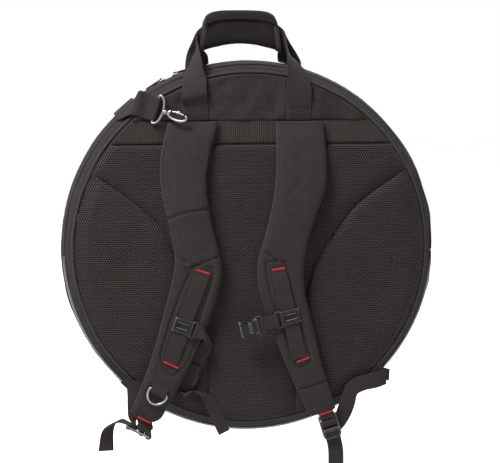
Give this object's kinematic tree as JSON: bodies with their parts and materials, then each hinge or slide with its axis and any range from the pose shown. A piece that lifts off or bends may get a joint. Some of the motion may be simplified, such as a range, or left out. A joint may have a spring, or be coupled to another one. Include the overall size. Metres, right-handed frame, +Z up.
{
  "type": "cymbal bag",
  "caption": "Round padded cymbal bag worn as a backpack, with a zipped front flap, front pocket, carry grip, contoured shoulder straps, a chest buckle and a swivel snap hook.",
  "frame": {"origin": "middle of the carry grip's underside, where a hand holds the bag", "axes": "+Z up with the bag hanging from its grip, +Y from the harness side to the front pocket, +X to the right seen from the harness side"},
  "size_m": [0.6192, 0.1879, 0.7838],
  "materials": {
    "shell_fabric": "plain woven polyester, matt black",
    "air_mesh": "spacer mesh, matt black",
    "ribbed_elastic": "ribbed elastic, matt black",
    "strap_fabric": "padded woven polyester, matt black",
    "webbing": "ribbed polyester webbing, black",
    "piping": "covered cord, slightly glossy black",
    "lining": "padded lining, dark grey",
    "zip_tape": "coil zip tape, black",
    "black_plastic": "moulded acetal, satin black",
    "steel": "nickel-plated steel"
  },
  "bodies": {
    "bag": {"back_panel": "shell_fabric", "yoke_panel": "shell_fabric", "ribbed_band": "ribbed_elastic", "mesh_pad_centre": "air_mesh", "mesh_pad_left": "air_mesh", "mesh_pad_right": "air_mesh", "gusset_lower": "shell_fabric", "gusset_back_strip": "shell_fabric", "front_panel_lower": "shell_fabric", "piping_back": "piping", "piping_front_lower": "piping", "zip_tape_back": "zip_tape", "front_pocket": "shell_fabric", "pocket_zip_tape": "zip_tape", "bottom_guard": "lining", "handle_webbing_back": "webbing", "handle_webbing_front": "webbing", "grip_wrap": "strap_fabric", "anchor_webbing_left": "webbing", "anchor_webbing_right": "webbing", "anchor_tab_left": "shell_fabric", "anchor_tab_right": "shell_fabric", "sling_webbing": "webbing"},
    "front_flap": {"front_panel_upper": "shell_fabric", "gusset_front_strip": "shell_fabric", "zip_tape_front": "zip_tape", "piping_front_upper": "piping"},
    "zip_slider_left": {"zip_slider_left": "steel"},
    "zip_pull_left": {"zip_pull_left": "black_plastic"},
    "zip_slider_right": {"zip_slider_right": "steel"},
    "zip_pull_right": {"zip_pull_right": "black_plastic"},
    "pocket_slider": {"pocket_slider": "steel"},
    "pocket_pull": {"pocket_pull": "black_plastic"},
    "divider_back": {"divider_back": "lining"},
    "divider_front": {"divider_front": "lining"},
    "grip_flap": {"grip_flap": "strap_fabric"},
    "strap_left": {"shoulder_strap_left": "strap_fabric", "strap_webbing_left": "webbing", "strap_end_loop_left": "webbing", "d_ring_loop": "webbing"},
    "strap_right": {"shoulder_strap_right": "strap_fabric", "strap_webbing_right": "webbing", "strap_end_loop_right": "webbing"},
    "chest_slider_left": {"chest_slider_left": "black_plastic"},
    "chest_slider_right": {"chest_slider_right": "black_plastic"},
    "chest_strap_left": {"chest_webbing_left": "webbing", "buckle_plug": "black_plastic"},
    "chest_strap_right": {"chest_webbing_right": "webbing", "buckle_socket": "black_plastic"},
    "d_ring": {"d_ring": "steel"},
    "ladder_lock_left": {"ladder_lock_left": "black_plastic", "adjust_webbing_left": "webbing"},
    "ladder_lock_right": {"ladder_lock_right": "black_plastic", "adjust_webbing_right": "webbing"},
    "hook_eye": {"hook_eye": "steel"},
    "hook_body": {"hook_body": "steel"},
    "hook_gate": {"hook_gate": "steel"}
  },
  "joints": [
    {"name": "front_flap_hinge", "type": "hinge", "parent": "bag", "child": "front_flap", "pos_m": [0.014, 0.0653, -0.343], "axis": [-1, 0, 0], "range_deg": [0, 85]},
    {"name": "zip_run_left", "type": "hinge", "parent": "bag", "child": "zip_slider_left", "pos_m": [0.014, 0.032, -0.33723], "axis": [0, -1, 0], "range_deg": [0, 59]},
    {"name": "zip_pull_left_hinge", "type": "hinge", "parent": "zip_slider_left", "child": "zip_pull_left", "pos_m": [-0.12705, 0.03347, -0.06041], "axis": [0.1591, 0.9366, -0.3123], "range_deg": [0, 150]},
    {"name": "zip_run_right", "type": "hinge", "parent": "bag", "child": "zip_slider_right", "pos_m": [0.014, 0.032, -0.33723], "axis": [0, 1, 0], "range_deg": [0, 108]},
    {"name": "zip_pull_right_hinge", "type": "hinge", "parent": "zip_slider_right", "child": "zip_pull_right", "pos_m": [-0.10489, 0.03347, -0.0502], "axis": [-0.1341, -0.9366, 0.3238], "range_deg": [0, 150]},
    {"name": "pocket_slider_run", "type": "slide", "parent": "bag", "child": "pocket_slider", "axis": [1, 0, 0], "range_m": [-0.038, 0.338]},
    {"name": "pocket_pull_hinge", "type": "hinge", "parent": "pocket_slider", "child": "pocket_pull", "pos_m": [-0.136, 0.1006, -0.388], "axis": [0, 0, -1], "range_deg": [0, 150]},
    {"name": "divider_back_tilt", "type": "hinge", "parent": "bag", "child": "divider_back", "pos_m": [0.014, -0.01, -0.62263], "axis": [-1, 0, 0], "range_deg": [-1.5, 1.5]},
    {"name": "divider_front_tilt", "type": "hinge", "parent": "bag", "child": "divider_front", "pos_m": [0.014, 0.02, -0.62263], "axis": [-1, 0, 0], "range_deg": [-1.5, 2.5]},
    {"name": "grip_flap_hinge", "type": "hinge", "parent": "bag", "child": "grip_flap", "pos_m": [0, 0.0177, 0.03082], "axis": [-1, 0, 0], "range_deg": [0, 110]},
    {"name": "shoulder_strap_left_lift", "type": "hinge", "parent": "bag", "child": "strap_left", "pos_m": [0.014, -0.049, -0.1235], "axis": [-1, 0, 0], "range_deg": [0, 10]},
    {"name": "shoulder_strap_right_lift", "type": "hinge", "parent": "bag", "child": "strap_right", "pos_m": [0.014, -0.049, -0.1235], "axis": [-1, 0, 0], "range_deg": [0, 10]},
    {"name": "chest_slider_left_run", "type": "slide", "parent": "strap_left", "child": "chest_slider_left", "axis": [0.3413, 0, 0.9399], "range_m": [-0.034, 0.066]},
    {"name": "chest_slider_right_run", "type": "slide", "parent": "strap_right", "child": "chest_slider_right", "axis": [-0.2346, 0, 0.9721], "range_m": [-0.041, 0.053]},
    {"name": "chest_strap_left_swing", "type": "hinge", "parent": "chest_slider_left", "child": "chest_strap_left", "pos_m": [-0.07734, -0.077, -0.46075], "axis": [0.3413, 0, 0.9399], "range_deg": [-6, 4]},
    {"name": "chest_strap_right_swing", "type": "hinge", "parent": "chest_slider_right", "child": "chest_strap_right", "pos_m": [0.05332, -0.077, -0.44577], "axis": [-0.2346, 0, 0.9721], "range_deg": [0, 55]},
    {"name": "d_ring_hinge", "type": "hinge", "parent": "strap_left", "child": "d_ring", "pos_m": [-0.13888, -0.07495, -0.56086], "axis": [-0.8713, 0, 0.4907], "range_deg": [0, 120]},
    {"name": "ladder_lock_left_hinge", "type": "hinge", "parent": "strap_left", "child": "ladder_lock_left", "pos_m": [-0.15709, -0.06212, -0.63514], "axis": [0, -1, 0], "range_deg": [0, 12]},
    {"name": "ladder_lock_right_hinge", "type": "hinge", "parent": "strap_right", "child": "ladder_lock_right", "pos_m": [0.13856, -0.06212, -0.61057], "axis": [-0.957, 0, -0.29], "range_deg": [0, 12]},
    {"name": "hook_eye_swing", "type": "hinge", "parent": "bag", "child": "hook_eye", "pos_m": [-0.1389, -0.0479, -0.10395], "axis": [-0.3, 0, -0.9539], "range_deg": [-3, 28]},
    {"name": "hook_swivel", "type": "hinge", "parent": "hook_eye", "child": "hook_body", "pos_m": [-0.1214, -0.05457, -0.10945], "axis": [0.8964, -0.342, -0.2819], "continuous": true},
    {"name": "hook_gate_hinge", "type": "hinge", "parent": "hook_body", "child": "hook_gate", "pos_m": [-0.1123, -0.05752, -0.1076], "axis": [0.3263, 0.9397, -0.1026], "range_deg": [0, 18], "stiffness_Nm_per_rad": 0.02, "springref_deg": -11.46}
  ]
}
